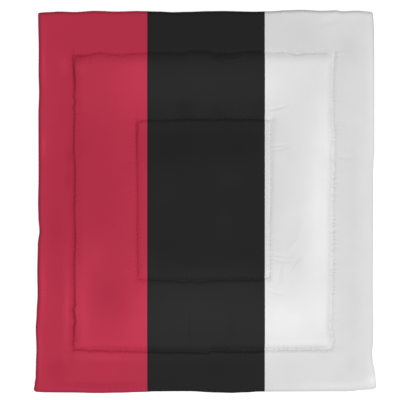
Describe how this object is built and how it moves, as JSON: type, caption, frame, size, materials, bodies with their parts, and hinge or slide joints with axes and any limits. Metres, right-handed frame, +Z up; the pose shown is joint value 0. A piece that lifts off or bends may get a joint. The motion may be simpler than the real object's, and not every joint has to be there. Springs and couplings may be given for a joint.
{
  "type": "comforter",
  "caption": "Filled comforter lying flat, printed in broad red, charcoal and white bands, quilted through along two nested rectangles, with a knife edge seam.",
  "frame": {"origin": "on the surface that the comforter lies on, under the middle of its outline's box", "axes": "+Z up out of the printed face, +Y along the length towards the head end, +X across the width towards the white band"},
  "size_m": [2.0572, 2.3004, 0.0598],
  "materials": {
    "cover_cloth": "matt brushed polyester, printed on its face in three equal lengthwise bands of red, charcoal and white, with a plain white backing",
    "quilting_thread": "fine sewing thread, toned to the band that it crosses"
  },
  "bodies": {
    "root": {"comforter": "cover_cloth"}
  },
  "joints": []
}
